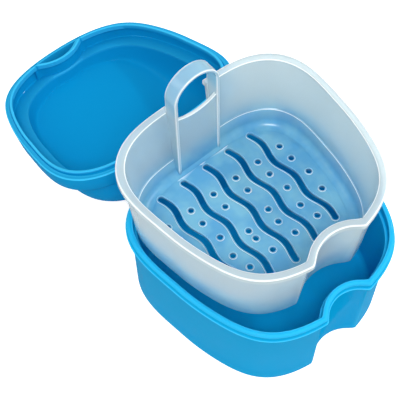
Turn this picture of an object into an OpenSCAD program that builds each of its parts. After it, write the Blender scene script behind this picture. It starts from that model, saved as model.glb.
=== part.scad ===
// Denture case: a tub, a strainer basket with a strap handle that hangs inside it, and a lid.
// The tub stands on the ground and opens upwards. Its finger notch faces -Y, the front.
// The basket is drawn lifted out, standing across the tub's rim, and the lid lies on its
// sloping crown behind the tub.
// Lengths are in millimetres and angles in degrees. +Z is up.

/* [Plan shape] */
// Half of the width across the middle of the tub's rim
half_w = 44; // [36:0.5:56]
// Half of the length of the tub's rim, front to back
half_l = 43.8; // [36:0.1:56]
// How square the two back corners are (2 is an ellipse)
back_square = 4.7; // [2.5:0.1:6]
// How square the front is
front_square = 2.16; // [2:0.02:4]
// How much wider the back is than the front
widen_back = 0.11; // [0:0.01:0.2]
// How much the sides bulge toward both ends
widen_ends = 0.07; // [0:0.01:0.15]
// How strongly the width closes again at the back corners
close_back = 0.28; // [0:0.01:0.4]
// Radius of the finger notch in the front wall
notch_r = 13.75; // [9:0.25:18]
// Distance from the middle of the tub to the middle of the notch's circle
notch_out = 51.4; // [46:0.1:62]
// Blend between the notch and the front wall
notch_blend = 2.4; // [0.4:0.1:4]

/* [Tub] */
// Height of the tub to the top of its rim
tub_h = 46; // [34:0.5:64]
// Thickness of the tub's wall
tub_wall = 1.8; // [1.5:0.1:3]
// Height of the tub's floor above the ground
tub_floor = 2; // [1.6:0.1:4]
// Height of the band around the rim
band_h = 4.2; // [3:0.1:8]
// How far the band stands out from the wall
band_out = 1.2; // [0.6:0.1:2]
// Thickness of the band, from its outside to the tub's mouth
band_t = 2; // [1.4:0.1:3]
// Height of the bead along the band's lower edge
bead_h = 1.1; // [0.6:0.1:2]
// How far the bead stands out from the band
bead_out = 0.5; // [0.1:0.1:1]
// How much the wall draws in from the band down to the foot
tub_draft = 0.7; // [0:0.1:4]
// Rounding of the tub's foot
foot_r = 2.6; // [1:0.1:6]

/* [Basket] */
// Height of the basket from its underside to its rim
basket_h = 36.6; // [24:0.1:40]
// Gap between the basket's flange and the tub's mouth
flange_gap = 0.5; // [0.4:0.05:1]
// Extra gap behind the basket, so that it can come out at a slant
back_gap = 0.35; // [0:0.05:1]
// Thickness of the basket's flange
flange_t = 2.6; // [1.6:0.1:2.8]
// Width of the basket's flange from the wall's outside
flange_w = 1.4; // [0.8:0.1:2.5]
// Thickness of the basket's wall
basket_wall = 1.5; // [1.2:0.1:2.5]
// Thickness of the basket's floor
basket_floor = 1.4; // [1:0.1:3]
// How much the basket's sides draw in toward its floor
basket_draft = 2.2; // [1.6:0.1:5]
// How much more the back wall draws in
back_draft = 1.8; // [0:0.1:5]
// Rounding between the basket's wall and floor
basket_r = 3; // [1.5:0.1:6]
// Height of the low step around the inside of the basket's wall
step_h = 9.5; // [6:0.5:20]
// Depth of that step
step_d = 0.45; // [0:0.05:0.8]

/* [Floor pattern] */
// Number of wavy slots in the basket's floor
slot_count = 5; // [3:1:7]
// Distance between neighbouring slots
slot_pitch = 11.4; // [9:0.1:16]
// Width of a slot
slot_w = 2.6; // [1:0.1:3.4]
// Back end of the slots
slot_back = 28.5; // [20:0.5:30]
// Front end of the outer slots
slot_front = -20.1; // [-26:0.1:-14]
// How much further forward each slot reaches toward the middle
slot_step = 1.8; // [0:0.1:3]
// How far each slot swings to either side
wave_amp = 0.95; // [0:0.05:2]
// Length of one full wave
wave_len = 19.2; // [12:0.1:30]
// Diameter of a drain hole
hole_d = 2.3; // [1.2:0.1:3]
// Distance between rows of drain holes
hole_pitch = 8.2; // [6:0.1:12]
// How far the first row of holes is behind the middle
hole_back = 17.4; // [10:0.1:24]
// How much further forward the third hole is in the two middle columns
middle_drift = 3.7; // [0:0.1:5]

/* [Handle] */
// Half of the handle's width
handle_half_w = 10.5; // [8:0.5:16]
// Height of the handle's top above the basket's rim
handle_h = 18.3; // [12:0.1:26]
// Height of the round part of the handle's arch
handle_round = 10; // [6:0.1:12]
// Thickness of the handle's strap and of the two cheeks below it
strap_t = 1.3; // [1:0.1:2.4]
// Width of the strap, front to back
strap_w = 6.2; // [4:0.1:8]
// Thickness of the panel between the cheeks
panel_t = 1.3; // [1:0.1:2.4]
// How far the panel stands back from the cheeks' front edges
panel_back = 0.5; // [0.2:0.1:1.5]
// How far the panel's top edge dips below the rim
panel_dip = 2.6; // [0:0.1:5]
// How far the strap's front edge is behind the middle, at the rim
handle_y = 33.7; // [26:0.1:38]
// How far the handle, the cheeks and the panel lean back
handle_lean = 2; // [0.5:0.1:6]

/* [Lid] */
// Height of the lid's skirt
skirt_h = 8; // [5:0.1:12]
// Thickness of the lid's walls
lid_wall = 1.5; // [1.2:0.1:2.6]
// How far the lid's locating lip reaches into the tub
lip_h = 0.9; // [0.5:0.1:1.2]
// Thickness of the locating lip
lip_t = 1.1; // [0.8:0.1:2]
// Gap between the lip and the tub's mouth
lip_gap = 0.35; // [0.3:0.05:0.8]
// Extra gap behind the lip
lip_back = 1.05; // [0.5:0.05:2]
// Height of the lip's root above the lid's edge
lip_root = 1.4; // [1:0.1:3]
// Depth of the groove between the lid's edge and the lip
lip_groove = 0.3; // [0.1:0.1:0.8]
// Distance from the rim's line to the crown's side walls
ledge_w = 5.6; // [4:0.1:9]
// Distance from the rim's line to the crown's back wall
ledge_back = 0.4; // [0:0.1:4]
// Height of the crown's slope over the middle of the lid
crown_mid = 25; // [20:0.5:32]
// Greatest height of the crown
crown_top = 28.6; // [24:0.1:36]
// Slope of the crown from the front up to the back
crown_slope = 17.8; // [8:0.2:22]

/* [Layout] */
// Gap between the tub's rim and the lifted basket's underside
lift_gap = 0.3; // [0.3:0.1:6]
// How far the lifted basket is off to the left
lift_x = 3.05; // [0:0.05:3.2]
// How far the lifted basket is off to the back
lift_y = 4.45; // [0:0.05:4.6]
// Distance between the middles of the tub and of the lid behind it
lid_dist = 101.9; // [98:0.1:140]

/* [Hidden] */
// How far each row of holes is moved from even steps
row_shift = [0, -1.1, -0.4, 0.4, -0.2];
$fn = 64;
front_deg = 24;
front_steps = 24;
round_steps = 80;
points_round = front_steps + round_steps;
mouth_in = band_t - band_out;
ledge_z = tub_h - band_h;
flange_in = mouth_in + flange_gap;
top_in = flange_in + flange_w;
low_in = top_in + basket_draft;
crown_tan = tan(crown_slope);
tub_color = [0.07, 0.57, 0.86];
lid_color = [0.03, 0.52, 0.82];
basket_color = [0.84, 0.89, 0.93, 0.62];

// Directions of the outline's points from the front, closer together across the notch.
// A half step turns them to lie between those of the lofted rings.
function clock(half = 0) = concat(
    [for (i = [0 : front_steps - 1]) -front_deg + 2 * front_deg * (i + half) / front_steps],
    [for (i = [0 : round_steps - 1]) front_deg + (360 - 2 * front_deg) * (i + half) / round_steps]);

// How far out of the plan shape a point is: 1 is on it.
function plan_at(x, y, w, lf, lb) = let(
    v = min(1.3, max(-1.3, y > 0 ? y / lb : y / lf)),
    n = v > 0 ? back_square : front_square,
    wy = w * (1 + widen_back * v + widen_ends * v * v - close_back * v * v * v))
    pow(pow(abs(x) / wy, n) + pow(abs(v), n), 1 / n);
function reach(a, w, lf, lb, lo, hi, k) = k == 0 ? (lo + hi) / 2 : let(m = (lo + hi) / 2)
    plan_at(m * sin(a), -m * cos(a), w, lf, lb) > 1 ? reach(a, w, lf, lb, lo, m, k - 1)
    : reach(a, w, lf, lb, m, hi, k - 1);
// Distance from the middle to the notch's circle, or far away where the direction misses it.
function to_notch(a, r) = let(q = r * r - pow(notch_out * sin(a), 2), c = cos(a))
    c > 0 && q > 0 ? notch_out * c - sqrt(q) : 3 * half_l;
function soft_min(a, b, k) = let(h = max(k - abs(a - b), 0) / k) min(a, b) - h * h * k / 4;

// A ring of points inside the rim's line by side, front and back, with a notch that is
// grown by notch, or with no notch at all.
function ring(side, front, back, notch, cut = true, half = 0) = [for (a = clock(half)) let(
    far = reach(a, half_w - side, half_l - front, half_l - back, 1, 1.6 * half_w, 18),
    r = cut ? soft_min(far, to_notch(a, notch_r + notch), notch_blend) : far)
    [r * sin(a), -r * cos(a)]];
function even(s) = ring(s, s, s, s);
// The same line as a flat outline for an extruded piece.
function outline(s, back = 0, notch = 0) = ring(s, s, s + back, s + notch, true, 0.5);
function at(points, z) = [for (p = points) [p[0], p[1], z]];

// A closed skin round a hoop: each ring joins the next, and the last joins the first.
module hoop(rings) {
    m = len(rings);
    polyhedron([for (r = rings) each r], [for (k = [0 : m - 1], i = [0 : points_round - 1])
        let(j = (i + 1) % points_round, a = k * points_round, b = (k + 1) % m * points_round)
        each [[a + i, b + j, a + j], [a + i, b + i, b + j]]], convexity = 8);
}

// A closed skin from a point through rings to another point.
module shell(rings, start, finish) {
    m = len(rings);
    sides = [for (k = [0 : m - 2], i = [0 : points_round - 1])
        let(j = (i + 1) % points_round, a = k * points_round, b = a + points_round)
        each [[a + i, b + j, a + j], [a + i, b + i, b + j]]];
    ends = [for (i = [0 : points_round - 1])
        let(j = (i + 1) % points_round, a = (m - 1) * points_round)
        each [[m * points_round, i, j], [m * points_round + 1, a + j, a + i]]];
    polyhedron(concat([for (r = rings) each r], [start, finish]), concat(sides, ends),
        convexity = 8);
}

// The tub: a lofted wall with a stepped mouth, round a flat floor.
module tub() {
    out = tub_draft;
    in = tub_wall + tub_draft;
    in_r = foot_r - 0.2;
    toe = in + in_r + 0.2;
    color(tub_color) union() {
        hoop([
            at(even(out + foot_r * 0.9), foot_r * 0.04),
            at(even(out + foot_r * 0.45), foot_r * 0.15),
            at(even(out + foot_r * 0.13), foot_r * 0.5),
            at(even(out), foot_r),
            at(even(0), ledge_z - 0.9),
            at(even(-band_out), ledge_z - 0.2),
            at(even(-band_out - bead_out), ledge_z + 0.2),
            at(even(-band_out - bead_out), ledge_z + bead_h - 0.4),
            at(even(-band_out), ledge_z + bead_h),
            at(even(-band_out), tub_h - 1.2),
            at(even(-band_out * 0.72), tub_h - 0.4),
            at(even(-band_out * 0.1), tub_h),
            at(even(mouth_in - 0.4), tub_h),
            at(even(mouth_in), tub_h - 0.4),
            at(even(mouth_in), ledge_z),
            at(even(tub_wall), ledge_z),
            at(even(in), tub_floor + in_r),
            at(even(in + in_r * 0.3), tub_floor + in_r * 0.3),
            at(even(toe), tub_floor - 0.15),
            at(even(toe), tub_floor / 3)]);
        linear_extrude(tub_floor) polygon(outline(out + foot_r));
    }
}

// A slot's middle line swings from side to side along its length.
function wave(y) = wave_amp * sin(360 * (slot_back - y) / wave_len - 10);
module wavy_slot(x, back, front) {
    steps = 32;
    r = slot_w / 2;
    ys = [for (i = [0 : steps]) back + (front - back) * i / steps];
    ends = [for (k = [1 : 7]) 180 * k / 8];
    translate([x, 0, -1]) linear_extrude(basket_floor + 3) polygon(concat(
        [for (y = ys) [wave(y) - r, y]],
        [for (t = ends) [wave(front) - r * cos(t), front - r * sin(t)]],
        [for (i = [steps : -1 : 0]) [wave(ys[i]) + r, ys[i]]],
        [for (t = ends) [wave(back) + r * cos(t), back + r * sin(t)]]));
}

// Columns of drain holes follow the slots' waves, one column outside each outer slot.
function hole_y(k, j) = let(off = slot_count / 2 - k) hole_back - hole_pitch * j - row_shift[j]
    - (j == 2 && abs(off) < 1 ? middle_drift + 2.3 * off : 0);
module floor_cuts() {
    mid = (slot_count - 1) / 2;
    for (k = [0 : slot_count - 1])
        wavy_slot((k - mid) * slot_pitch, slot_back, slot_front - slot_step * (mid - abs(k - mid)));
    for (k = [0 : slot_count], j = [0 : abs(k - slot_count / 2) > mid ? 3 : 4])
        translate([(k - slot_count / 2) * slot_pitch + wave(hole_y(k, j)), hole_y(k, j), -1])
            cylinder(d = hole_d, h = basket_floor + 3);
}

// The handle is a strap that arches over a gap in the back wall. Its legs go on down to the
// floor as two cheeks, with a panel between them, and all of them lean back together.
module leaning() {
    translate([0, handle_y, basket_h]) rotate([-handle_lean, 0, 0]) children();
}
// Draws a flat outline standing up, with its thickness toward the back.
module upright(t) {
    translate([0, t, 0]) rotate([90, 0, 0]) linear_extrude(t) children();
}
module arch(half, low, top, round) {
    translate([-half, -low]) square([2 * half, low + top - round]);
    translate([0, top - round]) scale([1, round / half]) circle(half, $fn = 72);
}
module strap_and_cheeks() {
    low = (basket_h - basket_floor / 2) / cos(handle_lean);
    back_top = half_l - top_in - back_gap - basket_wall / 2;
    back_low = back_top - basket_draft - back_draft;
    intersection() {
        leaning() upright(strap_w) difference() {
            arch(handle_half_w, low, handle_h, handle_round);
            arch(handle_half_w - strap_t, low + 2, handle_h - strap_t, handle_round - strap_t);
        }
        rotate([90, 0, 90]) translate([0, 0, -half_w]) linear_extrude(2 * half_w) polygon([
            [0, -1], [0, 2 * basket_h], [half_l * 1.2, 2 * basket_h], [back_top, basket_h],
            [back_low, basket_r * 1.5], [back_low - basket_r + 0.8, basket_floor / 2],
            [back_low - basket_r, -1]]);
    }
}

// The panel's top edge dips between the cheeks.
module panel(t) {
    half = handle_half_w - strap_t / 2;
    low = (basket_h - basket_floor / 2) / cos(handle_lean);
    leaning() translate([0, panel_back, 0]) upright(t) polygon(concat(
        [[half, -low], [-half, -low]],
        [for (k = [-12 : 12]) [half * k / 12, -0.2 - panel_dip * (1 - pow(k / 12, 2))]]));
}

module basket_hoop() {
    function lay(s, b = 0) = ring(s, s, s + back_gap + b, s);
    w = basket_wall;
    f = basket_floor;
    r = basket_r;
    toe = low_in + w + r + 0.2;
    step_in = step_d * 0.9;
    up = (step_h - r) / (basket_h - flange_t - r);
    step_side = low_in - basket_draft * up;
    step_back = back_draft * (1 - up);
    hoop([
        at(lay(low_in + r * 0.9, back_draft), r * 0.04),
        at(lay(low_in + r * 0.45, back_draft), r * 0.15),
        at(lay(low_in + r * 0.13, back_draft), r * 0.5),
        at(lay(low_in, back_draft), r),
        at(lay(top_in), basket_h - flange_t),
        at(lay(flange_in), basket_h - flange_t),
        at(lay(flange_in), basket_h - 0.6),
        at(lay(flange_in + 0.6), basket_h),
        at(lay(top_in + w - 0.4), basket_h),
        at(lay(top_in + w), basket_h - 0.4),
        at(lay(step_side + w, step_back), step_h),
        at(lay(step_side + w + step_d, step_back), step_h - step_in),
        at(lay(low_in + w + step_d, back_draft), f + r),
        at(lay(low_in + w + r * 0.35, back_draft), f + r * 0.3),
        at(lay(toe, back_draft), f - 0.15),
        at(lay(toe, back_draft), f / 3)]);
    linear_extrude(f) polygon(outline(low_in + r, back_gap + back_draft));
}

module strainer_basket() {
    open_half = handle_half_w - strap_t - 0.05;
    color(basket_color) translate([-lift_x, lift_y, tub_h + lift_gap]) difference() {
        union() {
            basket_hoop();
            strap_and_cheeks();
            panel(panel_t + 1);
        }
        floor_cuts();
        leaning() translate([-open_half, panel_back + panel_t, -2 * basket_h])
            cube([2 * open_half, half_l, 2 * basket_h + 2]);
    }
}

// Height of the lid's crown: it slopes up from the front and levels out at the back.
function crown(y, z, drop) = soft_min(z, soft_min(crown_mid + crown_tan * y, crown_top, 3) - drop, 2.5);
function on_crown(points, z, drop) = [for (p = points) [p[0], p[1], crown(p[1], z, drop)]];

// The crown's outside, from the ledge up. Each row is height, side, front and back.
crown_rows = [
    [0, 0, 0, 0], [5, 0.5, 0.4, 0.2], [9.5, 1.4, 1, 0.5], [13, 3, 2.4, 1.2],
    [15.6, 5.4, 5, 2.6], [17.6, 8.6, 8, 5], [19.2, 13, 12, 9], [20.3, 20, 19, 16]];
function crown_ring(row, grow) = on_crown(
    ring(ledge_w + row[1] + grow, ledge_w + row[2] + grow, ledge_back + row[3] + grow,
        row[1] * 0.5 + grow), skirt_h + row[0] - grow, grow);

// The lid's skirt isn't notched, so it overhangs the tub's finger notch. The crown is.
module lid_shell() {
    e = -band_out;
    skirt_in = e + lid_wall + 0.5;
    w = lid_wall;
    n = len(crown_rows) - 1;
    function plain(s) = ring(s, s, s, 0, false);
    shell(concat(
        [for (k = [n : -1 : 0]) crown_ring(crown_rows[k], w)],
        [at(plain(skirt_in + 0.1), skirt_h - w), at(plain(skirt_in), 0),
         at(plain(e + 0.4), 0), at(plain(e), 0.5), at(plain(e + 0.7), skirt_h - 1.2),
         at(plain(e + 1.2), skirt_h - 0.25), at(plain(e + 1.9), skirt_h)],
        [for (k = [0 : n]) crown_ring(crown_rows[k], 0)]),
        [0, 0, crown(0, 99, w)], [0, 0, crown(0, 99, 0)]);
}

// A wall follows the tub's notch from the ledge to the lid's edge and closes the case there.
module notch_wall() {
    linear_extrude(skirt_h - lid_wall / 2) intersection() {
        difference() {
            polygon(outline(0.3, 0, -0.7));
            polygon(outline(0.3 + lid_wall, 0, -0.7));
        }
        translate([-notch_r, -2 * half_l]) square([2 * notch_r, 2 * half_l - half_l / 2]);
    }
}

// A lip under the lid's edge locates it in the tub's mouth. A groove parts it from the edge.
module lip() {
    s = mouth_in + lip_gap;
    translate([0, 0, -lip_h]) linear_extrude(lip_h + lip_root) difference() {
        polygon(outline(s, lip_back));
        polygon(outline(s + lip_t, lip_back));
    }
    translate([0, 0, lip_groove]) linear_extrude(lip_root - lip_groove - 0.1) difference() {
        polygon(outline(mouth_in - 0.6));
        polygon(outline(s + lip_t / 2, lip_back));
    }
}

module lid() {
    color(lid_color) translate([0, lid_dist, crown_mid * cos(crown_slope)])
        rotate([180 - crown_slope, 0, 0]) union() {
            lid_shell();
            notch_wall();
            lip();
        }
}

tub();
strainer_basket();
lid();
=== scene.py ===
"""A denture case: a blue tub, a frosted strainer basket lifted out of it, and a blue lid behind.

Sizes are in millimetres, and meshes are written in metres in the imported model's frame: the tub
stands at the origin, +Z is up and its finger notch faces -Y.
"""

from __future__ import annotations

import logging
import math
from dataclasses import dataclass, field
from enum import Enum

import bmesh
import bpy
from bmesh.types import BMEdge, BMesh, BMVert
from bpy.types import Material, Mesh, NodeSocket, Object, ShaderNode
from mathutils import Matrix, Vector


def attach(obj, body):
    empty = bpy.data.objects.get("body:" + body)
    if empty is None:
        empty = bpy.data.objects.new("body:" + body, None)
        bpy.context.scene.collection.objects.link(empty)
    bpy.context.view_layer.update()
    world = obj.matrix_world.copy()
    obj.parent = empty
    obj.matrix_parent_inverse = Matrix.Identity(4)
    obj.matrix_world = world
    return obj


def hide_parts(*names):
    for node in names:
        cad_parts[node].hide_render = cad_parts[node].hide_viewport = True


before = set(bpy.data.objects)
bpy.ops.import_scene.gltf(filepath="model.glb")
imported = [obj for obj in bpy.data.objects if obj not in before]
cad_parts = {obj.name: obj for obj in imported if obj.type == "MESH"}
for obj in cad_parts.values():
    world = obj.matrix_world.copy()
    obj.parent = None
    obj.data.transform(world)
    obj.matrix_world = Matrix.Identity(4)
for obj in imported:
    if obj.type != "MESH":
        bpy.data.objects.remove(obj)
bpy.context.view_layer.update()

LOG = logging.getLogger("denture_case")
MM = 0.001
Pair = tuple[float, float]
Triple = tuple[float, float, float]

HIGHLIGHT_ATTRIBUTE = "edge"  # the attribute that marks the edges which get a painted highlight
FACES_DOWN = -0.2  # a normal whose Z is below this faces down
HOLLOW = -0.3  # the edge angle, in radians, below which a corner is hollow
BENT = 0.03  # the edge angle above which a corner bends outward
SLIVER = 0.001  # points closer than this, in millimetres, are one point
THINNEST = 0.01  # the least width that a face counts with, in millimetres


class Finish(Enum):
    """The material slots of the three mouldings."""

    TUB_BLUE = "tub_blue"
    LID_BLUE = "lid_blue"
    FROSTED = "basket_frosted"


@dataclass(frozen=True)
class Row:
    """One ring of a lofted wall: its inset from the rim's line, its height, and more inset at the back."""

    inset: float
    z: float
    back: float = 0.0


def arc(inset: float, z: float, r: float, start: float, end: float, steps: int) -> list[Row]:
    """Rounds an edge of a wall's section with rows.

    Args:
        inset: The inset of the arc's middle.
        z: The height of the arc's middle.
        r: The arc's radius.
        start: The angle where it starts, in degrees, from the inward side toward +Z.
        end: The angle where it ends.
        steps: The number of spans.

    Returns:
        The rows from start to end, both included.
    """
    rows = []
    for k in range(steps + 1):
        a = math.radians(start + (end - start) * k / steps)
        rows.append(Row(inset + r * math.cos(a), z + r * math.sin(a)))
    return rows


def shifted(rows: list[Row], back: float) -> list[Row]:
    """Gives the same rows, with their back edge drawn in further by back."""
    return [Row(r.inset, r.z, r.back + back) for r in rows]


@dataclass(frozen=True)
class PlanOutline:
    """The rim's line seen from above, which the tub, the basket and the lid share."""

    half_w: float = 44.0
    half_l: float = 43.8
    back_square: float = 4.7
    front_square: float = 2.16
    widen_back: float = 0.11
    widen_ends: float = 0.07
    close_back: float = 0.28
    notch_r: float = 13.75
    notch_out: float = 51.4
    notch_blend: float = 2.4
    front_deg: float = 24.0
    front_steps: int = 48
    round_steps: int = 160
    past_end: float = 1.3
    search: Pair = (1.0, 1.6)
    halvings: int = 22

    def clock(self) -> list[float]:
        """Gives the directions of a ring's points, closer together across the notch.

        Returns:
            Angles in radians, from the front toward +X and all the way round.
        """
        wide = self.front_deg
        front = [-wide + 2 * wide * i / self.front_steps for i in range(self.front_steps)]
        rest = [wide + (360 - 2 * wide) * i / self.round_steps for i in range(self.round_steps)]
        return [math.radians(a) for a in front + rest]

    def _outside(self, x: float, y: float, w: float, lf: float, lb: float) -> bool:
        """Tells whether a point lies outside the rounded shape.

        Args:
            x: The point's place from side to side.
            y: Its place from front to back.
            w: The shape's half width.
            lf: The shape's half length at the front.
            lb: The same at the back.

        Returns:
            True for a point outside.
        """
        v = min(self.past_end, max(-self.past_end, y / (lb if y > 0 else lf)))
        n = self.back_square if v > 0 else self.front_square
        wide = w * (1 + self.widen_back * v + self.widen_ends * v * v - self.close_back * v**3)
        return (abs(x) / wide) ** n + abs(v) ** n > 1

    def _reach(self, a: float, w: float, lf: float, lb: float) -> float:
        """Finds how far the rounded shape is from the middle, by halving.

        Args:
            a: The direction, in radians from the front toward +X.
            w: The shape's half width.
            lf: The shape's half length at the front.
            lb: The same at the back.

        Returns:
            The distance, in millimetres.
        """
        lo, hi = self.search[0], self.search[1] * self.half_w
        for _ in range(self.halvings):
            mid = (lo + hi) / 2
            if self._outside(mid * math.sin(a), -mid * math.cos(a), w, lf, lb):
                hi = mid
            else:
                lo = mid
        return (lo + hi) / 2

    def ring(self, side: float, front: float, back: float, notch: float | None) -> list[Pair]:
        """Draws one ring.

        Args:
            side: How far the ring lies inside the rim's line at the sides.
            front: The same at the front.
            back: The same at the back.
            notch: How much the finger notch's radius has grown, or None for no notch.

        Returns:
            The points, in the order of clock().
        """
        points = []
        for a in self.clock():
            r = self._reach(a, self.half_w - side, self.half_l - front, self.half_l - back)
            if notch is not None:
                q = (self.notch_r + notch) ** 2 - (self.notch_out * math.sin(a)) ** 2
                if math.cos(a) > 0 and q > 0:
                    cut = self.notch_out * math.cos(a) - math.sqrt(q)
                    h = max(self.notch_blend - abs(r - cut), 0) / self.notch_blend
                    r = min(r, cut) - h * h * self.notch_blend / 4
            points.append((r * math.sin(a), -r * math.cos(a)))
        return points

    def even(self, row: Row) -> list[Vector]:
        """Draws a row's ring, with its notch moved in as far as its sides."""
        flat = self.ring(row.inset, row.inset, row.inset + row.back, row.inset)
        return [Vector((x, y, row.z)) for x, y in flat]


class Loft:
    """A skin that grows ring by ring: each new ring is extruded from the last one."""

    def __init__(self, first: list[Vector], bm: BMesh | None = None) -> None:
        """Starts the skin at its first ring.

        Args:
            first: The ring's points, in millimetres.
            bm: The bmesh that gets the skin, or None for a new one.
        """
        self.bm = bm or bmesh.new()
        made = bmesh.ops.create_circle(self.bm, segments=len(first), radius=1.0)["verts"]
        self.first = self._walk(made)
        self._place(self.first, first)
        self.last = self.first

    @staticmethod
    def _walk(verts: list[BMVert]) -> list[BMVert]:
        """Puts a circle's vertices in the order in which its edges join them.

        Args:
            verts: The vertices, in any order.

        Returns:
            The same vertices, from one neighbour to the next.
        """
        order = [verts[0], verts[1]]
        while len(order) < len(verts):
            before, here = order[-2:]
            ends = [e.other_vert(here) for e in here.link_edges]
            order.append(next(v for v in ends if v is not before))
        return order

    @staticmethod
    def _place(verts: list[BMVert], points: list[Vector]) -> None:
        """Moves a ring's vertices to points given in millimetres."""
        for v, p in zip(verts, points):
            v.co = p * MM

    @staticmethod
    def _edges(ring: list[BMVert]) -> list[BMEdge]:
        """Finds the edges that join a ring's vertices to each other, in the ring's order."""
        inside = set(ring)
        return list(dict.fromkeys(e for v in ring for e in v.link_edges if e.other_vert(v) in inside))

    def to(self, points: list[Vector]) -> Loft:
        """Extrudes the last ring to new points.

        Args:
            points: The new ring, in millimetres.

        Returns:
            This loft, so that calls can be chained.
        """
        made = bmesh.ops.extrude_edge_only(self.bm, edges=self._edges(self.last))["geom"]
        fresh = {v for v in made if isinstance(v, BMVert)}
        ring = []
        for v in self.last:
            ring.append(next(e.other_vert(v) for e in v.link_edges if e.other_vert(v) in fresh))
        self._place(ring, points)
        self.last = ring
        return self

    def through(self, rings: list[list[Vector]]) -> Loft:
        """Extrudes through several rings, one after the other.

        Args:
            rings: The rings, in millimetres.

        Returns:
            This loft, so that calls can be chained.
        """
        for points in rings:
            self.to(points)
        return self

    def close_round(self) -> Loft:
        """Joins the last ring to the first one, as in a hoop."""
        bmesh.ops.bridge_loops(self.bm, edges=self._edges(self.first) + self._edges(self.last))
        return self

    def cap(self, ring: list[BMVert]) -> Loft:
        """Fills a ring with one flat face."""
        bmesh.ops.contextual_create(self.bm, geom=self._edges(ring))
        return self

    def gather(self, ring: list[BMVert], point: Vector) -> Loft:
        """Draws a small ring together into one point, in millimetres."""
        bmesh.ops.pointmerge(self.bm, verts=ring, merge_co=point * MM)
        return self

    def done(self) -> BMesh:
        """Turns every face outward, and puts edges and faces in an order that every run repeats.

        Returns:
            The finished bmesh.
        """
        bmesh.ops.recalc_face_normals(self.bm, faces=self.bm.faces)
        self.bm.verts.index_update()
        for parts in (self.bm.edges, self.bm.faces):
            ranked = sorted(parts, key=lambda part: sorted(v.index for v in part.verts))
            for rank, part in enumerate(ranked):
                part.index = rank
            parts.sort()
        return self.bm


def to_object(bm: BMesh, name: str) -> Object:
    """Writes a bmesh to a new object at the origin and frees the bmesh.

    Args:
        bm: The finished bmesh, in metres.
        name: The object's name.

    Returns:
        The new object, linked to the scene.
    """
    mesh = bpy.data.meshes.new(name)
    bm.to_mesh(mesh)
    bm.free()
    obj = bpy.data.objects.new(name, mesh)
    bpy.context.scene.collection.objects.link(obj)
    return obj


def skin(rings: list[list[Vector]], name: str) -> Object:
    """Lofts a closed skin through rings, with a flat face on both ends.

    Args:
        rings: The rings, in millimetres, from one end to the other.
        name: The new object's name.

    Returns:
        The new object.
    """
    loft = Loft(rings[0]).through(rings[1:])
    loft.cap(loft.first).cap(loft.last)
    return to_object(loft.done(), name)


def weld(mesh: Mesh) -> None:
    """Merges the points that a join left all but on top of each other.

    Args:
        mesh: The joined mesh.
    """
    bm = bmesh.new()
    bm.from_mesh(mesh)
    bmesh.ops.remove_doubles(bm, verts=bm.verts, dist=SLIVER * MM)
    bm.to_mesh(mesh)
    bm.free()


def carve(target: Object, tool: Object, operation: str, folds: bool = False) -> None:
    """Joins another solid to a solid, or cuts it away, and removes the other one.

    Args:
        target: The solid that is kept.
        tool: The solid that is joined or cut away.
        operation: UNION or DIFFERENCE.
        folds: Whether the other solid's skin passes through itself.
    """
    step = target.modifiers.new("carve", "BOOLEAN")
    step.operation = operation
    step.solver = "EXACT"
    step.object = tool
    step.use_self = folds
    bpy.context.view_layer.update()
    done = target.evaluated_get(bpy.context.evaluated_depsgraph_get())
    shaped = bpy.data.meshes.new_from_object(done)
    weld(shaped)
    target.modifiers.remove(step)
    old, target.data = target.data, shaped
    bpy.data.meshes.remove(old)
    bpy.data.objects.remove(tool)


def smooth(obj: Object, degrees: float = 38.0) -> None:
    """Shades an object smooth, and keeps edges sharper than an angle crisp."""
    obj.data.shade_smooth()
    obj.data.set_sharp_from_angle(angle=math.radians(degrees))


def mark_highlight_edges(obj: Object, radius: float = 0.55) -> None:
    """Gives a mesh an attribute that is 1 on its tight outward bends and 0 on its faces: the materials paint
    a highlight where it is 1.

    Args:
        obj: The piece.
        radius: The widest bend, in millimetres, that is marked in full.
    """
    bm = bmesh.new()
    bm.from_mesh(obj.data)
    layer = bm.verts.layers.float.new(HIGHLIGHT_ATTRIBUTE)
    area = {f: f.calc_area() for f in bm.faces}
    for v in bm.verts:
        turns = [e.calc_face_angle_signed(0.0) for e in v.link_edges]
        # Bends that face down or stand by a hollow get no painted highlight.
        if v.normal.z < FACES_DOWN or min(turns) < HOLLOW:
            continue
        for turn, e in zip(turns, v.link_edges):
            size = e.calc_length()
            if turn > BENT and size > SLIVER * MM:
                across = max(sum(area[f] for f in e.link_faces) / 2 / size, THINNEST * MM)
                v[layer] = min(1.0, max(v[layer], turn * radius * MM / across))
    bm.to_mesh(obj.data)
    bm.free()


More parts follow.
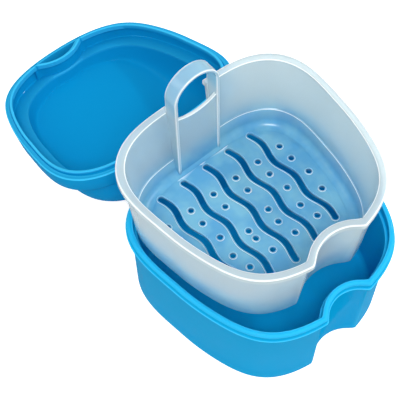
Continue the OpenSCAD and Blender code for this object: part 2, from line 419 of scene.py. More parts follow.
@dataclass(frozen=True)
class BluePlastic:
    """Glossy blue polypropylene; noises are scale and detail, the bump strength and height."""

    slot: Finish
    color: Triple
    # The paler colour painted on the marked edges as a highlight.
    highlight_color: Triple = (0.05, 0.56, 0.92)
    roughness: float = 0.3
    roughness_span: float = 0.03
    wave: float = 0.03
    ior: float = 1.49
    coat: float = 0.12
    coat_roughness: float = 0.08
    coat_ior: float = 1.3
    broad: Pair = (26.0, 2.0)
    grain: Pair = (160.0, 2.0)
    bump: Pair = (0.06, 0.0002)

    def material(self) -> Material:
        """Builds the node material.

        Returns:
            A material with faint mould ripple, slightly varied colour and gloss, and paler edges.
        """
        mat = bpy.data.materials.new(self.slot.value)
        mat.use_nodes = True
        shader = mat.node_tree.nodes["Principled BSDF"]
        gleam = {"IOR": self.ior, "Specular IOR Level": 0.0, "Coat IOR": self.coat_ior}
        gleam |= {"Coat Weight": self.coat, "Coat Roughness": self.coat_roughness}
        for name, value in gleam.items():
            shader.inputs[name].default_value = value
        place = mat.node_tree.nodes.new("ShaderNodeTexCoord")
        broad = noise(mat, place, *self.broad).outputs["Fac"]
        body = between(mat, broad, shade(self.color, 1 - self.wave), shade(self.color, 1 + self.wave))
        # Paints a highlight on the marked edges.
        body_and_highlight = between(mat, painted_highlight_marks(mat), body, self.highlight_color)
        mat.node_tree.links.new(body_and_highlight, shader.inputs["Base Color"])
        gloss = vary(mat, broad, self.roughness - self.roughness_span, self.roughness + self.roughness_span)
        mat.node_tree.links.new(gloss, shader.inputs["Roughness"])
        ripple(mat, noise(mat, place, *self.grain), shader, *self.bump)
        return mat


@dataclass(frozen=True)
class FrostedPlastic:
    """Milky, translucent polypropylene."""

    slot: Finish = Finish.FROSTED
    color: Triple = (0.81, 0.95, 0.99)
    # The blue of the tub seen through the lower wall, painted into the colour near the foot.
    painted_tub_blue: Triple = (0.19, 0.62, 0.94)
    cloud_color: Triple = (0.33, 0.77, 0.97)
    # A bluer, darker colour painted on the strap as shade.
    strap_painted_shade: Triple = (0.50, 0.83, 0.98)
    # The whiter colour painted on the marked edges as a highlight.
    highlight_color: Triple = (0.98, 0.99, 1.0)
    clear: Pair = (0.5, 0.62)
    # How clear the marked edges are, so that their painted highlight shows.
    highlight_clear: float = 0.15
    # The heights, in millimetres, over which the painted blue of the tub fades out and the wall grows
    # clearer.
    foot: Pair = (47.0, 66.0)
    # The heights, in millimetres, over which the strap's painted shade comes in.
    strap: Pair = (82.0, 90.0)
    patchy: Pair = (-1.5, 2.5)
    roughness: float = 0.22
    roughness_span: float = 0.06
    ior: float = 1.45
    clouds: Pair = (90.0, 3.0)
    grain: Pair = (220.0, 3.0)
    bump: Pair = (0.12, 0.0003)

    def material(self) -> Material:
        """Builds the node material.

        Returns:
            A material that lets blurred light through and is cloudy, with the blue of the tub seen
            through the wall painted in near its foot, painted shade that makes the strap bluer, and
            paler edges that are a painted highlight.
        """
        mat = bpy.data.materials.new(self.slot.value)
        mat.use_nodes = True
        nodes, links = mat.node_tree.nodes, mat.node_tree.links
        shader = nodes["Principled BSDF"]
        shader.inputs["IOR"].default_value = self.ior
        place = nodes.new("ShaderNodeTexCoord")
        split = nodes.new("ShaderNodeSeparateXYZ")
        links.new(place.outputs["Object"], split.inputs["Vector"])
        rise, top = nodes.new("ShaderNodeMapRange"), nodes.new("ShaderNodeMapRange")
        for ramp, (low, high) in ((rise, self.foot), (top, self.strap)):
            ramp.interpolation_type = "SMOOTHSTEP"
            ramp.inputs["From Min"].default_value = low * MM
            ramp.inputs["From Max"].default_value = high * MM
            links.new(split.outputs["Z"], ramp.inputs["Value"])
        cloud = noise(mat, place, *self.clouds).outputs["Fac"]
        see = vary(mat, rise.outputs["Result"], *self.clear)
        patches = vary(mat, cloud, *self.patchy)
        # Near the foot the colour is the painted blue of the tub seen through the wall, clouded at random.
        low = between(mat, patches, self.painted_tub_blue, self.cloud_color)
        wall = between(mat, rise.outputs["Result"], low, self.color)
        # Paints shade on the strap, above the rim.
        body = between(mat, top.outputs["Result"], wall, self.strap_painted_shade)
        highlight_marks = painted_highlight_marks(mat)
        # Paints a white highlight on the marked edges and makes them less clear.
        links.new(between(mat, highlight_marks, body, self.highlight_color), shader.inputs["Base Color"])
        links.new(vary(mat, highlight_marks, see, self.highlight_clear), shader.inputs["Transmission Weight"])
        gloss = vary(mat, cloud, self.roughness - self.roughness_span, self.roughness + self.roughness_span)
        links.new(gloss, shader.inputs["Roughness"])
        ripple(mat, noise(mat, place, *self.grain), shader, *self.bump)
        return mat


def shade(color: Triple, level: float) -> Triple:
    """Makes a colour darker or lighter, never above white."""
    return tuple(min(1.0, c * level) for c in color)


def between(
    mat: Material, by: NodeSocket, first: Triple | NodeSocket, second: Triple | NodeSocket
) -> NodeSocket:
    """Mixes two colours.

    Args:
        mat: The material.
        by: What says how much of the second one there is.
        first: The colour at 0, or where it comes from.
        second: The colour at 1, or where it comes from.

    Returns:
        The socket that gives the mixed colour.
    """
    mix = mat.node_tree.nodes.new("ShaderNodeMix")
    mix.data_type = "RGBA"
    mat.node_tree.links.new(by, mix.inputs["Factor"])
    for name, value in (("A", first), ("B", second)):
        if isinstance(value, NodeSocket):
            mat.node_tree.links.new(value, mix.inputs[name])
        else:
            mix.inputs[name].default_value = (*value, 1)
    return mix.outputs["Result"]


def painted_highlight_marks(mat: Material) -> NodeSocket:
    """Reads where a piece's edges get a painted highlight, in its material.

    Args:
        mat: The material.

    Returns:
        The socket that is 1 on a marked edge and 0 elsewhere.
    """
    highlight_marks = mat.node_tree.nodes.new("ShaderNodeAttribute")
    highlight_marks.attribute_name = HIGHLIGHT_ATTRIBUTE
    return highlight_marks.outputs["Fac"]


def vary(mat: Material, by: NodeSocket, low: float | NodeSocket, high: float | NodeSocket) -> NodeSocket:
    """Lets a number go from low to high as another one goes from 0 to 1.

    Args:
        mat: The material.
        by: The other number.
        low: The number at 0, or where it comes from.
        high: The number at 1, or where it comes from.

    Returns:
        The socket that gives the number.
    """
    span = mat.node_tree.nodes.new("ShaderNodeMapRange")
    mat.node_tree.links.new(by, span.inputs["Value"])
    for name, value in (("To Min", low), ("To Max", high)):
        if isinstance(value, NodeSocket):
            mat.node_tree.links.new(value, span.inputs[name])
        else:
            span.inputs[name].default_value = value
    return span.outputs["Result"]


def ripple(mat: Material, by: ShaderNode, shader: ShaderNode, strength: float, height: float) -> None:
    """Adds a bump that follows a noise.

    Args:
        mat: The material.
        by: The noise node.
        shader: The node that gets the bump.
        strength: The bump's strength.
        height: Its height, in metres.
    """
    bump = mat.node_tree.nodes.new("ShaderNodeBump")
    bump.inputs["Strength"].default_value = strength
    bump.inputs["Distance"].default_value = height
    mat.node_tree.links.new(by.outputs["Fac"], bump.inputs["Height"])
    mat.node_tree.links.new(bump.outputs["Normal"], shader.inputs["Normal"])


def noise(mat: Material, place: ShaderNode, scale: float, detail: float) -> ShaderNode:
    """Adds a noise texture on object coordinates.

    Args:
        mat: The material that gets the node.
        place: Its texture coordinate node.
        scale: The noise's scale, per metre.
        detail: The noise's detail.

    Returns:
        The noise node.
    """
    tex = mat.node_tree.nodes.new("ShaderNodeTexNoise")
    tex.inputs["Scale"].default_value = scale
    tex.inputs["Detail"].default_value = detail
    mat.node_tree.links.new(place.outputs["Object"], tex.inputs["Vector"])
    return tex


@dataclass
class Moulding:
    """What the three mouldings have in common: a plan, a name, a body and a finish."""

    plan: PlanOutline = field(default_factory=PlanOutline)
    node: str = ""
    finish: BluePlastic | FrostedPlastic | None = None

    def shape(self) -> Object:
        """Makes the moulding's mesh, which is its own in each moulding."""
        raise NotImplementedError

    def make(self) -> Object:
        """Builds the moulding, dresses it and lets it stand for its CAD node.

        Returns:
            The finished object.
        """
        obj = self.shape()
        # Marks the edges that get a painted highlight.
        mark_highlight_edges(obj)
        smooth(obj)
        obj.data.materials.clear()
        obj.data.materials.append(self.finish.material())
        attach(obj, self.node)
        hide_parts(self.node)
        return obj


@dataclass
class Tub(Moulding):
    """The lower box, with a band round its rim and a stepped mouth."""

    node: str = "tub"
    finish: BluePlastic = BluePlastic(Finish.TUB_BLUE, (0.003, 0.375, 0.720))
    height: float = 46.0
    wall: float = 1.8
    floor: float = 2.0
    band_h: float = 4.2
    band_out: float = 1.2
    band_t: float = 2.0
    bead_h: float = 1.1
    bead_out: float = 0.5
    draft: float = 0.7
    foot_r: float = 2.6
    inner_r: float = 2.4
    mouth_r: float = 0.4
    ledge_r: float = 0.2
    fillet: float = 0.15
    cove: tuple[Pair, ...] = ((0.1, 1.2), (-0.1, 0.85))
    bead_root: Pair = (0.7, 0.15)
    neck: tuple[Pair, ...] = ((-0.05, 0.05), (0.08, 0.4))
    neck_end: float = 0.25

    @property
    def mouth(self) -> float:
        """The inset of the tub's mouth."""
        return self.band_t - self.band_out

    @property
    def ledge(self) -> float:
        """The height of the ledge that carries the basket."""
        return self.height - self.band_h

    def rows(self) -> list[Row]:
        """Draws the wall's section.

        The cove's points are inset from the rim's line and lie below the ledge, and the neck's are
        inset from the band's face and lie above the bead.

        Returns:
            The rows, from the foot up the outside and down the inside.
        """
        low, inner = self.foot_r, self.inner_r
        rim, edge, bead = self.height - self.band_out, -self.band_out, self.bead_h / 2
        tip = edge - self.bead_out
        return [
            *arc(self.draft + low, low, low, 270, 180, 6),
            *(Row(inset, self.ledge - drop) for inset, drop in self.cove),
            Row(tip + self.bead_root[0], self.ledge - self.bead_root[1]),
            *arc(tip + bead, self.ledge + bead, bead, 250, 110, 5),
            *(Row(edge + inset, self.ledge + self.bead_h + rise) for inset, rise in self.neck),
            Row(edge + self.neck[-1][0], rim - self.neck_end),
            *arc(0.0, rim, self.band_out, 180, 90, 6),
            *arc(self.mouth - self.mouth_r, self.height - self.mouth_r, self.mouth_r, 90, 0, 3),
            Row(self.mouth, self.ledge + self.fillet),
            Row(self.mouth + self.fillet, self.ledge),
            *arc(self.wall - self.ledge_r, self.ledge - self.ledge_r, self.ledge_r, 90, 0, 2),
            *arc(self.wall + self.draft + inner, self.floor + inner, inner, 180, 270, 6),
        ]

    def shape(self) -> Object:
        """Lofts the wall and fills the floor inside and below."""
        return skin([self.plan.even(row) for row in self.rows()], "tub_shell")


@dataclass
class StrainerBasket(Moulding):
    """The frosted basket with its slotted floor and strap handle."""

    node: str = "strainer_basket"
    finish: FrostedPlastic = FrostedPlastic()
    height: float = 36.6
    flange_in: float = 1.3
    back_gap: float = 0.35
    flange_t: float = 2.6
    flange_w: float = 1.4
    wall: float = 1.5
    floor: float = 1.4
    draft: float = 2.2
    back_draft: float = 1.8
    round_r: float = 3.0
    flange_r: float = 0.6
    flange_edge: float = 0.15
    rim_r: float = 0.4
    step_h: float = 9.5
    step_d: float = 0.45
    step_r: float = 0.25
    step_ease: float = 0.1
    floor_line: Pair = (0.5, 0.75)
    floor_rise: float = 0.2
    slots: int = 5
    slot_pitch: float = 11.4
    slot_w: float = 2.6
    slot_back: float = 28.5
    slot_front: float = -20.1
    slot_step: float = 1.8
    wave_amp: float = 0.95
    wave_len: float = 19.2
    wave_from: float = -10.0
    slot_steps: int = 48
    end_steps: int = 12
    hole_d: float = 2.3
    hole_pitch: float = 8.2
    hole_back: float = 17.4
    hole_steps: int = 28
    row_shift: tuple[float, ...] = (0.0, -1.1, -0.4, 0.4, -0.2)
    middle_drift: float = 3.7
    middle_skew: float = 2.3
    collar_w: float = 0.5
    collar_h: float = 0.22
    collar_round: tuple[Pair, ...] = ((0.0, 0.15), (0.05, 0.05), (0.15, 0.0))
    cut_flare: float = 0.5
    cut_ends: Triple = (-0.83, -0.31, 1.07)
    grip_half: float = 10.5
    grip_h: float = 18.28
    grip_round: float = 10.0
    strap_t: float = 1.3
    strap_w: float = 6.2
    strap_r: float = 0.4
    strap_guard: float = 0.45
    strap_steps: int = 48
    strap_knee: float = 4.5
    strap_foot: float = 0.8
    strap_bend: Pair = (-1.0, -0.1)
    strap_rise: float = 0.6
    panel_t: float = 1.3
    panel_back: float = 0.5
    panel_dip: float = 2.6
    panel_drop: float = 0.2
    panel_steps: int = 16
    panel_round: tuple[Pair, ...] = ((0.7, 0.0), (0.3, 0.0), (0.1, 0.1), (0.0, 0.3))
    gap_ease: float = 0.05
    gap_top: float = 2.0
    gap_deep: float = 40.0
    grip_y: float = 33.7
    lean: float = 2.0
    lifted: Triple = (-3.05, 4.45, 46.3)

    def rows(self) -> list[Row]:
        """Draws the wall's section.

        Returns:
            The rows, from the foot up the outside and down the inside to the floor.
        """
        top_in, w, f, r = self.flange_in + self.flange_w, self.wall, self.floor, self.round_r
        low_in = top_in + self.draft
        up = (self.step_h - r) / (self.height - self.flange_t - r)
        side, back = low_in - self.draft * up + w, self.back_draft * (1 - up)
        h, under, deep = self.height, self.height - self.flange_t, self.back_draft
        rows = shifted(arc(low_in + r, r, r, 270, 180, 6), deep)
        rows += [Row(top_in, under), Row(self.flange_in + self.flange_edge, under)]
        rows += [Row(self.flange_in, under + self.flange_edge)]
        rows += arc(self.flange_in + self.flange_r, h - self.flange_r, self.flange_r, 180, 90, 4)
        rows += arc(top_in + w - self.rim_r, h - self.rim_r, self.rim_r, 90, 0, 3)
        rows += [Row(side, self.step_h + self.step_ease, back)]
        step_z = self.step_h - self.step_ease - self.step_r
        rows += shifted(arc(side + self.step_d - self.step_r, step_z, self.step_r, 75, 0, 3), back)
        toe = low_in + w + self.step_d + r
        rows += shifted(arc(toe, f + r, r, 180, 270, 6), deep)
        rows += [Row(toe + self.floor_line[0], f, deep)]
        rows += [Row(toe + self.floor_line[1], f + self.floor_rise, deep)]
        return shifted(rows, self.back_gap)

    def wave(self, y: float) -> float:
        """Gives how far a slot's middle line swings to the side at y."""
        turn = 360 * (self.slot_back - y) / self.wave_len + self.wave_from
        return self.wave_amp * math.sin(math.radians(turn))

    def _front(self, z: float) -> float:
        """Gives where the strap's and the cheeks' front edge is, at a height above the rim."""
        return self.grip_y + z * math.tan(math.radians(self.lean))

    def _leaning(self) -> Matrix:
        """Gives the place of the handle's plane: at the rim, leaning back."""
        back = Matrix.Rotation(math.radians(-self.lean), 4, "X")
        return Matrix.Translation((0, self.grip_y, self.height)) @ back

    def _strap(self) -> Object:
        """Sweeps the strap's section up one cheek, over the arch and down the other cheek.

        Returns:
            The strap with both cheeks, in the basket's own frame.
        """
        wall_top = self.plan.half_l - self.flange_in - self.flange_w - self.back_gap - self.wall / 2
        wall_low = wall_top - self.draft - self.back_draft
        foot = self.floor / 2 - self.height
        knee = self.strap_knee - self.height
        spring = self.grip_h - self.grip_round
        legs = [(foot, wall_low - self.round_r + self.strap_foot), (knee, wall_low)]
        legs += [(knee / 2, (wall_low + wall_top) / 2)]
        legs += [(self.strap_bend[0], wall_top + self.strap_bend[1])]
        legs += [(z, self._front(z) + self.strap_w) for z in (self.strap_rise, spring)]
        path = [(1.0, 0.0, self.grip_half, z, back) for z, back in legs]
        for k in range(1, self.strap_steps):
            t = math.pi * k / self.strap_steps
            x, z = self.grip_half * math.cos(t), spring + self.grip_round * math.sin(t)
            nx, nz = math.cos(t) / self.grip_half, math.sin(t) / self.grip_round
            size = math.hypot(nx, nz)
            path.append((nx / size, nz / size, x, z, self._front(z) + self.strap_w))
        path += [(-1.0, 0.0, -self.grip_half, z, back) for z, back in reversed(legs)]
        rings = []
        for nx, nz, x, z, back in path:
            bar = self._section(self._front(z), back)
            rings.append([Vector((x - nx * depth, y, self.height + z - nz * depth)) for depth, y in bar])
        return skin(rings, "strap")

    def _section(self, front: float, back: float) -> list[Pair]:
        """Draws the strap's section, a bar with round corners.

        Args:
            front: Where the strap's front edge is.
            back: Where its back edge is.

        Returns:
            Each point's depth under the strap's outer face, and its place from front to back.
        """
        r, t, guard = self.strap_r, self.strap_t, self.strap_r + self.strap_guard
        corners = ((r, front + r, 180), (t - r, front + r, 270), (t - r, back - r, 0), (r, back - r, 90))
        points = []
        for k, (depth, y, turn) in enumerate(corners):
            for step in (0, 30, 60, 90):
                a = math.radians(turn + step)
                points.append((depth + r * math.cos(a), y + r * math.sin(a)))
            if k % 2:
                ends = (front + guard, back - guard)
                points += [(t if k == 1 else 0.0, end) for end in (ends if k == 1 else ends[::-1])]
        return points

    def _plate(self, rings: list[list[Pair]], depths: list[float], name: str) -> Object:
        """Stands outlines up in the handle's plane, one behind the other, and skins them.

        Args:
            rings: The outlines seen from the front, in millimetres.
            depths: How far each one lies behind the handle's front plane.
            name: The object's name.

        Returns:
            The plate, in the basket's own frame.
        """
        place = self._leaning()
        upright = [[place @ Vector((x, depth, z)) for x, z in ring] for ring, depth in zip(rings, depths)]
        return skin(upright, name)

    def _panel(self) -> Object:
        """Stands up the panel between the cheeks, whose top edge dips below the rim.

        Returns:
            The panel, in the basket's own frame.
        """
        low = (self.height - self.floor / 2) / math.cos(math.radians(self.lean))
        half, near, n = self.grip_half - self.strap_t / 2, self.panel_back, self.panel_steps
        levels = [(inset, near + deep) for inset, deep in self.panel_round]
        levels += [(inset, near + self.panel_t - deep) for inset, deep in reversed(self.panel_round)]
        rings = []
        for inset, _ in levels:
            wide, drop = half - inset, self.panel_drop + inset
            dips = [(k / n, self.panel_dip * (1 - (k / n) ** 2)) for k in range(-n, n + 1)]
            top = [(wide * across, -drop - dip) for across, dip in dips]
            rings.append([(wide, -low + inset), (-wide, -low + inset), *top])
        return self._plate(rings, [depth for _, depth in levels], "panel")

    def _gap(self) -> Object:
        """Makes what is cut out of the back wall, behind the panel and between the cheeks.

        Returns:
            The block to cut away, in the basket's own frame.
        """
        half, near = self.grip_half - self.strap_t - self.gap_ease, self.panel_back + self.panel_t / 2
        low, top = -2 * self.height, self.gap_top
        box = [(-half, low), (half, low), (half, top), (-half, top)]
        return self._plate([box, box], [near, near + self.gap_deep], "gap")

    def _slot_line(self, x: float, front: float, grow: float) -> list[Pair]:
        """Draws a wavy slot with round ends, seen from above.

        Args:
            x: Where the slot's middle line is from side to side.
            front: Where its front end is.
            grow: How far the outline lies outside the slot.

        Returns:
            The closed outline.
        """
        r, steps, back = self.slot_w / 2 + grow, self.slot_steps, self.slot_back
        ys = [back + (front - back) * i / steps for i in range(steps + 1)]
        ends = [math.pi * k / self.end_steps for k in range(1, self.end_steps)]
        line = [(x + self.wave(y) - r, y) for y in ys]
        line += [(x + self.wave(front) - r * math.cos(t), front - r * math.sin(t)) for t in ends]
        line += [(x + self.wave(y) + r, y) for y in reversed(ys)]
        line += [(x + self.wave(back) + r * math.cos(t), back + r * math.sin(t)) for t in ends]
        return line

    def _lines(self, grow: float) -> list[list[Pair]]:
        """Draws all slots and drain holes, grown by a width.

        Args:
            grow: How far each outline lies outside its opening.

        Returns:
            One closed outline for each opening.
        """
        mid, rows, n = (self.slots - 1) / 2, len(self.row_shift), self.hole_steps
        turn = [2 * math.pi * t / n for t in range(n)]
        lines = []
        for k in range(self.slots):
            front = self.slot_front - self.slot_step * (mid - abs(k - mid))
            lines.append(self._slot_line((k - mid) * self.slot_pitch, front, grow))
        for k in range(self.slots + 1):
            off = self.slots / 2 - k
            for j in range(rows - 1 if abs(off) > mid else rows):
                y = self.hole_back - self.hole_pitch * j - self.row_shift[j]
                if j == rows // 2 and abs(off) < 1:
                    y -= self.middle_drift + self.middle_skew * off
                x, r = -off * self.slot_pitch + self.wave(y), self.hole_d / 2 + grow
                lines.append([(x + r * math.cos(t), y + r * math.sin(t)) for t in turn])
        return lines

    def _bars(self, levels: list[Pair], name: str) -> Object:
        """Stands an upright bar on each opening's outline.

        Args:
            levels: How far the bars reach outside their openings, and at which height, from below.
            name: The object's name.

        Returns:
            All bars as one object.
        """
        bm = bmesh.new()
        rings = [self._lines(grow) for grow, _ in levels]
        for k in range(len(rings[0])):
            bar = [[Vector((x, y, z)) for x, y in lines[k]] for (_, z), lines in zip(levels, rings)]
            loft = Loft(bar[0], bm).through(bar[1:])
            loft.cap(loft.first).cap(loft.last)
        return to_object(loft.done(), name)

    def shape(self) -> Object:
        """Lofts the wall, cuts the gap behind the handle, adds the handle and pierces the floor.

        Returns:
            The basket, lifted out of the tub and not yet dressed.
        """
        basket = skin([self.plan.even(row) for row in self.rows()], "basket_shell")
        carve(basket, self._gap(), "DIFFERENCE")
        carve(basket, self._strap(), "UNION", folds=True)
        carve(basket, self._panel(), "UNION")
        top, (low, lip, high) = self.floor + self.floor_rise + self.collar_h, self.cut_ends
        rise = [(self.collar_w, self.floor / 2)]
        rise += [(self.collar_w - inset, top - drop) for inset, drop in self.collar_round]
        carve(basket, self._bars(rise, "collars"), "UNION")
        cuts = [(self.cut_flare, low), (0.0, top + lip), (0.0, top + high)]
        carve(basket, self._bars(cuts, "openings"), "DIFFERENCE")
        basket.data.transform(Matrix.Translation(Vector(self.lifted) * MM))
        return basket


@dataclass
class Lid(Moulding):
    """The domed lid, which lies upside down on its sloping crown."""

    node: str = "lid"
    finish: BluePlastic = BluePlastic(Finish.LID_BLUE, (0.002, 0.262, 0.555))
    skirt_h: float = 8.0
    wall: float = 1.5
    edge_out: float = 1.2
    mouth: float = 0.8
    lip_h: float = 0.9
    lip_t: float = 1.1
    lip_gap: float = 0.35
    lip_back: float = 1.05
    lip_root: float = 1.4
    lip_groove: float = 0.3
    ledge_w: float = 5.6
    ledge_back: float = 0.4
    crown_mid: float = 25.0
    crown_top: float = 28.6
    crown_slope: float = 17.8
    crown_round: float = 3.0
    side_round: float = 2.5
    edge_r: float = 0.6
    inside: float = 0.5
    inside_top: tuple[Pair, ...] = ((0.5, 0.0), (0.12, 0.4))
    inside_low: tuple[Pair, ...] = ((0.0, 0.25), (-0.2, 0.02))
    shoulder: tuple[Pair, ...] = ((0.65, 1.5), (0.9, 0.8), (1.4, 0.22), (2.0, 0.0))
    lip_r: float = 0.25
    lip_hold: float = 0.4
    notch_foot: tuple[Pair, ...] = ((0.3, 0.25), (0.5, 0.0), (1.55, 0.0), (1.8, 0.3))
    notch_in: float = 0.7
    notch_reach: float = 22.0
    notch_share: float = 0.5
    dist: float = 101.9
    crown_rows: tuple[tuple[float, float, float, float], ...] = (
        (0, 0, 0, 0),
        (5, 0.5, 0.4, 0.2),
        (9.5, 1.4, 1, 0.5),
        (13, 3, 2.4, 1.2),
        (15.6, 5.4, 5, 2.6),
        (17.6, 8.6, 8, 5),
        (19.2, 13, 12, 9),
        (20.3, 20, 19, 16),
    )

    @staticmethod
    def _soft_min(a: float, b: float, k: float) -> float:
        """Gives the smaller of two heights, rounded where they meet."""
        h = max(k - abs(a - b), 0) / k
        return min(a, b) - h * h * k / 4

    def crown(self, y: float, z: float, drop: float) -> float:
        """Finds how high the crown is.

        Args:
            y: The place from front to back.
            z: The height that the crown's wall has there, which it doesn't pass.
            drop: How far the height lies under the crown's outside.

        Returns:
            The height above the lid's edge.
        """
        slope = self.crown_mid + math.tan(math.radians(self.crown_slope)) * y
        top = self._soft_min(slope, self.crown_top, self.crown_round) - drop
        return self._soft_min(z, top, self.side_round)

    @staticmethod
    def _curve(t: float, a: float, b: float, c: float, d: float) -> float:
        """Gives the smooth line through a, b, c and d, from b at t = 0 to c at t = 1."""
        line = 2 * b + (c - a) * t
        return 0.5 * (line + (2 * a - 5 * b + 4 * c - d) * t * t + (3 * b - a - 3 * c + d) * t**3)

    def _fine_rows(self) -> list[tuple[float, ...]]:
        """Puts two more rows between each pair of the crown's, on a smooth line.

        Returns:
            All the rows, from the ledge up.
        """
        rows = self.crown_rows
        fine = []
        for k in range(len(rows) - 1):
            four = [rows[max(0, k - 1)], rows[k], rows[k + 1], rows[min(len(rows) - 1, k + 2)]]
            fine += [tuple(self._curve(t, *p) for p in zip(*four)) for t in (0, 1 / 3, 2 / 3)]
        return [*fine, rows[-1]]

    def _crown_ring(self, row: tuple[float, ...], grow: float) -> list[Vector]:
        """Draws a ring of the crown.

        Args:
            row: How far the ring lies above the ledge, and inside it at its sides, front and back.
            grow: How far the ring lies inside the crown's outer face.

        Returns:
            The ring.
        """
        rise, side, front, back = row
        insets = (self.ledge_w + side, self.ledge_w + front, self.ledge_back + back, side * self.notch_share)
        flat = self.plan.ring(*(inset + grow for inset in insets))
        return [Vector((x, y, self.crown(y, self.skirt_h + rise - grow, grow))) for x, y in flat]

    def _plain(self, inset: float, z: float) -> list[Vector]:
        """Draws a ring of the skirt, which has no notch."""
        return [Vector((x, y, z)) for x, y in self.plan.ring(inset, inset, inset, None)]

    def _shell(self) -> BMesh:
        """Lofts the skirt, the ledge and the crown, inside and outside.

        Returns:
            The closed shell, with its edge at the height of 0 and its crown up.
        """
        e, w, top, r = -self.edge_out, self.wall, self.skirt_h, self.edge_r
        inner, rows = e + w + self.inside, self._fine_rows()
        rings = [self._crown_ring(row, w) for row in reversed(rows)]
        rings += [self._plain(inner + inset, top - w - drop) for inset, drop in self.inside_top]
        rings += [self._plain(inner + inset, z) for inset, z in self.inside_low]
        rings += [self._plain(edge.inset, r - edge.z) for edge in arc(e + r, 0, r, 90, 180, 4)]
        rings += [self._plain(e + inset, top - drop) for inset, drop in self.shoulder]
        rings += [self._crown_ring(row, 0) for row in rows]
        loft = Loft(rings[0]).through(rings[1:])
        outside, inside = loft.last, loft.first
        loft.gather(outside, Vector((0, 0, self.crown(0, math.inf, 0))))
        loft.gather(inside, Vector((0, 0, self.crown(0, math.inf, w))))
        return loft.done()

    def _lip(self) -> BMesh:
        """Lofts the lip that locates the lid in the tub's mouth, and its root.

        Returns:
            The lip, a closed ring.
        """
        s, t, r = self.mouth + self.lip_gap, self.lip_t, self.lip_r
        low, root, hold = -self.lip_h, self.lip_root, self.mouth - self.lip_hold
        rows = [Row(s, low + r), Row(s + r, low), Row(s + t - r, low)]
        rows += [Row(s + t, low + r), Row(s + t, root - r), Row(s + t - r, root)]
        rows = shifted(rows, self.lip_back)
        rows += [Row(hold, root), Row(hold, self.lip_groove), Row(s, self.lip_groove, self.lip_back)]
        rings = [self.plan.even(row) for row in rows]
        return Loft(rings[0]).through(rings[1:]).close_round().done()

    def _notch_wall(self) -> BMesh:
        """Lofts the wall that follows the tub's notch from the ledge to the lid's edge.

        Returns:
            The wall, cut off beside the notch and behind it.
        """
        top, foot = self.skirt_h - self.wall / 2, self.notch_foot
        rows = [(foot[0][0], top), *foot, (foot[-1][0], top)]
        rings = []
        for inset, z in rows:
            line = self.plan.ring(inset, inset, inset, inset - self.notch_in)
            rings.append([Vector((x, y, z)) for x, y in line])
        bm = Loft(rings[0]).through(rings[1:]).close_round().done()
        wide, reach = self.plan.notch_r * MM, self.notch_reach * MM
        sides = (((1, 0, 0), (wide, 0, 0)), ((-1, 0, 0), (-wide, 0, 0)), ((0, 1, 0), (0, -reach, 0)))
        for normal, place in sides:
            geom = [*bm.verts, *bm.edges, *bm.faces]
            cut = bmesh.ops.bisect_plane(bm, geom=geom, plane_co=place, plane_no=normal, clear_outer=True)
            edges = [g for g in cut["geom_cut"] if isinstance(g, BMEdge)]
            bmesh.ops.holes_fill(bm, edges=edges)
        return bm

    def shape(self) -> Object:
        """Joins the lid's forms and lays it down behind the tub.

        Returns:
            The lid, upside down and not yet dressed.
        """
        lid = to_object(self._shell(), "lid_shell")
        carve(lid, to_object(self._notch_wall(), "notch_wall"), "UNION")
        carve(lid, to_object(self._lip(), "lip"), "UNION")
        turn = math.radians(180 - self.crown_slope)
        rest = Vector((0, self.dist, self.crown_mid * math.cos(math.radians(self.crown_slope)))) * MM
        lid.data.transform(Matrix.Translation(rest) @ Matrix.Rotation(turn, 4, "X"))
        return lid


@dataclass(frozen=True)
class Camera:
    """The camera, which stands where the photograph was taken from."""

    azimuth: float = -40.19
    elevation: float = 59.46
    distance: float = 489.06
    aim: Triple = (3.50, 44.87, 0.0)
    lens: float = 101.56
    sensor: float = 36.0
    clip: float = 0.01

    def place(self) -> None:
        """Adds the camera and makes it the scene's."""
        az, el = math.radians(self.azimuth), math.radians(self.elevation)
        back = Vector((math.sin(az) * math.cos(el), -math.cos(az) * math.cos(el), math.sin(el)))
        data = bpy.data.cameras.new("camera")
        data.lens = self.lens
        data.sensor_width = self.sensor
        data.clip_start = self.clip
        camera = bpy.data.objects.new("camera", data)
        camera.location = (Vector(self.aim) + back * self.distance) * MM
        camera.rotation_euler = back.to_track_quat("Z", "Y").to_euler()
        bpy.context.scene.collection.objects.link(camera)
        bpy.context.scene.camera = camera


@dataclass(frozen=True)
class Lamp:
    """A soft square lamp that looks at the tub."""

    name: str
    place_mm: Triple
    size: float
    watts: float
    aim: Triple = (0.0, 40.0, 20.0)

    def hang(self) -> None:
        """Adds the lamp, which the camera doesn't see."""
        data = bpy.data.lights.new(self.name, "AREA")
        data.energy = self.watts
        data.size = self.size
        lamp = bpy.data.objects.new(self.name, data)
        lamp.visible_camera = False
        lamp.location = Vector(self.place_mm) * MM
        lamp.rotation_euler = (lamp.location - Vector(self.aim) * MM).to_track_quat("Z", "Y").to_euler()
        bpy.context.scene.collection.objects.link(lamp)


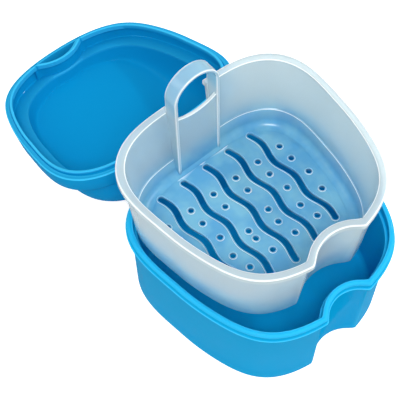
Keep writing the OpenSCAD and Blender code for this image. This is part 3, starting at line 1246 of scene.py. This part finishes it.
@dataclass
class Studio:
    """A white table in a white room, with soft lamps; its width and drop are in metres."""

    table: float = 3.0
    drop: float = 0.0002
    paper: float = 0.74
    ambient: float = 0.52
    glow: float = 0.72
    lamps: tuple[Lamp, ...] = (
        Lamp("key", (-360, -380, 950), 0.3, 6.4),
        Lamp("right_light", (600, -400, 520), 0.4, 2.1),
        Lamp("side_light", (-600, 500, 600), 0.4, 1.1),
        Lamp("spark", (760, 20, 720), 0.06, 1.4),
    )

    def _floor_material(self) -> Material:
        """Mixes white paper that the camera sees as white and that still takes a shadow.

        Returns:
            The table's material.
        """
        mat = bpy.data.materials.new("paper")
        mat.use_nodes = True
        nodes, links = mat.node_tree.nodes, mat.node_tree.links
        nodes.remove(nodes["Principled BSDF"])
        sheet = nodes.new("ShaderNodeBsdfDiffuse")
        sheet.inputs["Color"].default_value = (self.paper, self.paper, self.paper, 1)
        glow = nodes.new("ShaderNodeEmission")
        seen = nodes.new("ShaderNodeLightPath")
        power = nodes.new("ShaderNodeMath")
        power.operation = "MULTIPLY"
        power.inputs[1].default_value = self.glow
        links.new(seen.outputs["Is Camera Ray"], power.inputs[0])
        links.new(power.outputs["Value"], glow.inputs["Strength"])
        both = nodes.new("ShaderNodeAddShader")
        links.new(sheet.outputs["BSDF"], both.inputs[0])
        links.new(glow.outputs["Emission"], both.inputs[1])
        links.new(both.outputs["Shader"], nodes["Material Output"].inputs["Surface"])
        return mat

    def _room(self) -> None:
        """Lights the room evenly, and shows white where the camera looks past the table."""
        world = bpy.data.worlds.new("room")
        world.use_nodes = True
        nodes, links = world.node_tree.nodes, world.node_tree.links
        sky = nodes["Background"]
        sky.inputs["Color"].default_value = (1, 1, 1, 1)
        seen = nodes.new("ShaderNodeLightPath")
        level = nodes.new("ShaderNodeMapRange")
        level.inputs["To Min"].default_value = self.ambient
        level.inputs["To Max"].default_value = 1.0
        links.new(seen.outputs["Is Camera Ray"], level.inputs["Value"])
        links.new(level.outputs["Result"], sky.inputs["Strength"])
        bpy.context.scene.world = world

    def build(self) -> None:
        """Sets the table, the room and the lamps."""
        bm = bmesh.new()
        bmesh.ops.create_grid(bm, x_segments=1, y_segments=1, size=self.table / 2)
        bmesh.ops.translate(bm, verts=bm.verts, vec=(0, 0, -self.drop))
        floor = to_object(bm, "table")
        floor.data.materials.append(self._floor_material())
        self._room()
        for lamp in self.lamps:
            lamp.hang()
        bpy.context.scene.view_settings.view_transform = "Standard"


def main() -> None:
    """Builds the three mouldings and the studio."""
    logging.basicConfig(level=logging.INFO, format="%(name)s: %(message)s")
    Camera().place()
    Studio().build()
    for moulding in (Tub(), StrainerBasket(), Lid()):
        piece = moulding.make()
        LOG.info("%s: %d faces", piece.name, len(piece.data.polygons))


if __name__ == "__main__":
    main()
